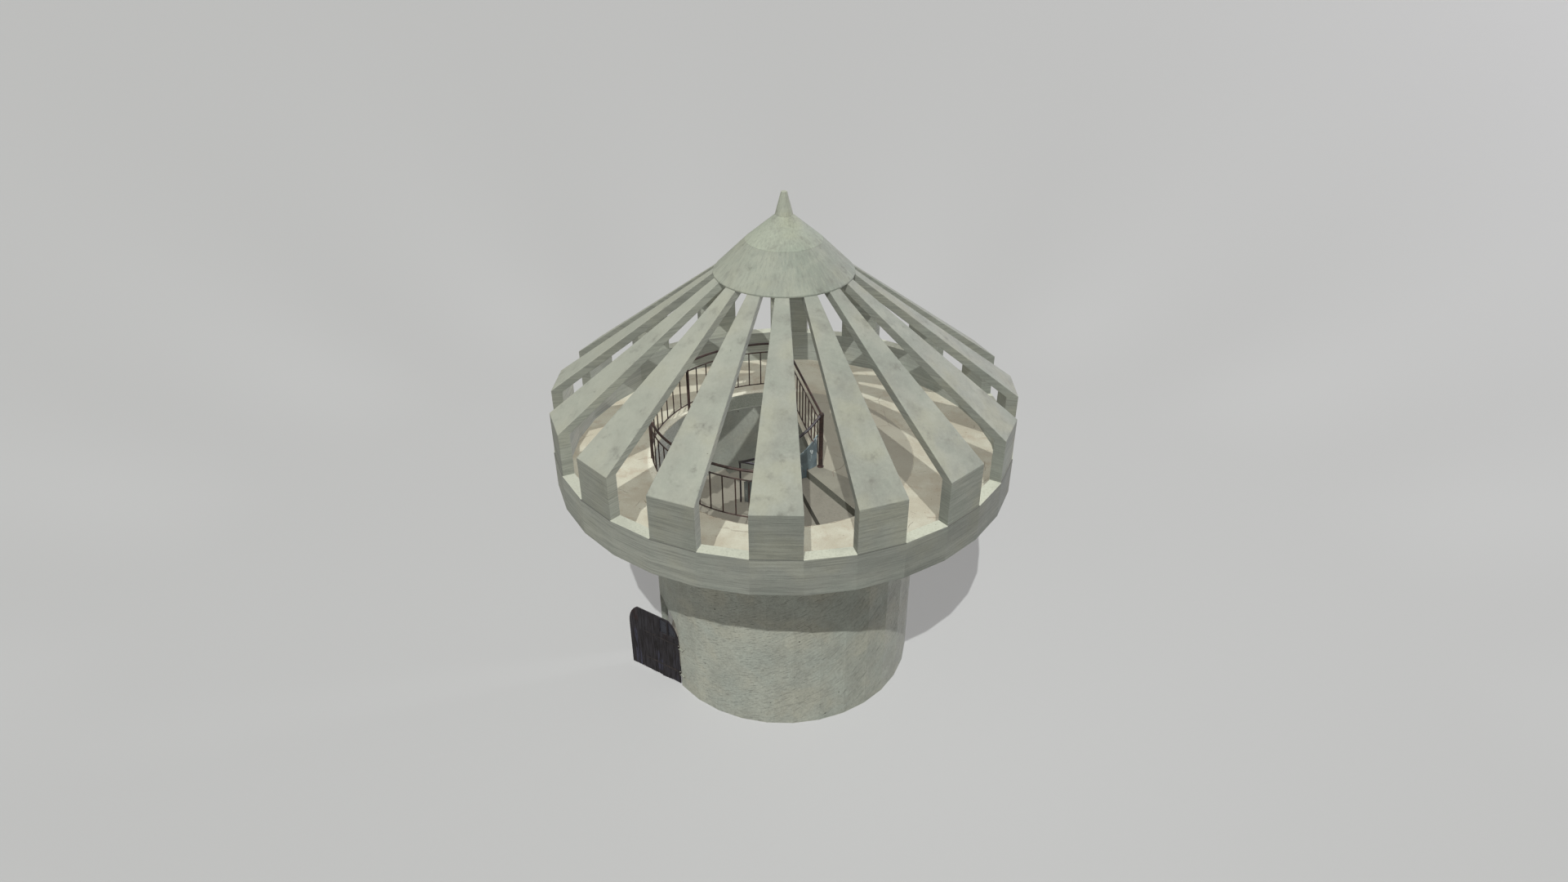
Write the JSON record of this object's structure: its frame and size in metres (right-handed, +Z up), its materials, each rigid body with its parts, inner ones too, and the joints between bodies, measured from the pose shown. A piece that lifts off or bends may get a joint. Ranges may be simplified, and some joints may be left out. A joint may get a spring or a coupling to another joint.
{
  "type": "water tower",
  "caption": "Round lookout tower with an arched plank door, a spiral stair, a wide railed gallery and sloping roof ribs under a pointed cap.",
  "frame": {"origin": "on the ground at the middle of the round drum", "axes": "+Z up the tower's axis; the front that faces the camera looks along -Y; the doorway faces azimuth -156.7 degrees from +X, at the front left"},
  "size_m": [9.975, 9.975, 11.3],
  "materials": {
    "drum_plaster": "rough painted plaster, scratched and chipped",
    "gallery_concrete": "weathered cast concrete",
    "rib_concrete": "weathered cast concrete",
    "cap_concrete": "weathered cast concrete",
    "deck_floor": "worn screed",
    "stair_concrete": "worn cast concrete",
    "railing_iron": "dark rusty iron",
    "string_plate": "blue grey gloss paint, worn",
    "door_boards": "old dark boards with worn pale paint",
    "door_glass": "dusty dark glass",
    "door_iron": "rusty iron"
  },
  "bodies": {
    "tower": {"drum_wall_front": "drum_plaster", "drum_wall_front_right": "drum_plaster", "drum_wall_right": "drum_plaster", "drum_wall_back": "drum_plaster", "drum_wall_left": "drum_plaster", "drum_wall_over_door": "drum_plaster", "parapet_left": "gallery_concrete", "parapet_right": "gallery_concrete", "rib_01": "rib_concrete", "rib_02": "rib_concrete", "rib_03": "rib_concrete", "rib_04": "rib_concrete", "rib_05": "rib_concrete", "rib_06": "rib_concrete", "rib_07": "rib_concrete", "rib_08": "rib_concrete", "rib_09": "rib_concrete", "rib_10": "rib_concrete", "rib_11": "rib_concrete", "rib_12": "rib_concrete", "rib_13": "rib_concrete", "rib_14": "rib_concrete", "rib_15": "rib_concrete", "rib_16": "rib_concrete", "crown_ring": "cap_concrete", "cap_skirt": "cap_concrete", "cap_crown": "cap_concrete", "finial": "cap_concrete", "deck_slab_left": "deck_floor", "deck_slab_right": "deck_floor", "landing": "deck_floor", "drum_floor": "deck_floor", "stair_flight_1": "stair_concrete", "stair_flight_2": "stair_concrete", "stair_flight_3": "stair_concrete", "stair_flight_4": "stair_concrete", "stairwell_railing_1": "railing_iron", "stairwell_railing_2": "railing_iron", "stairwell_railing_3": "railing_iron", "stairwell_railing_4": "railing_iron", "landing_railing": "railing_iron", "stair_handrail_1": "railing_iron", "stair_handrail_2": "railing_iron", "stair_string_1": "string_plate", "stair_string_2": "string_plate", "stair_string_3": "string_plate", "stair_string_4": "string_plate", "door_pintle_top": "door_iron", "door_pintle_bottom": "door_iron"},
    "door": {"door_leaf": "door_boards", "door_pane_1": "door_glass", "door_pane_2": "door_glass", "door_strap_top": "door_iron", "door_strap_bottom": "door_iron"}
  },
  "joints": [
    {"name": "door_hinge", "type": "hinge", "parent": "tower", "child": "door", "pos_m": [-2.43374, -1.87017, 0.9], "axis": [0, 0, 1], "range_deg": [-34, 86]}
  ]
}
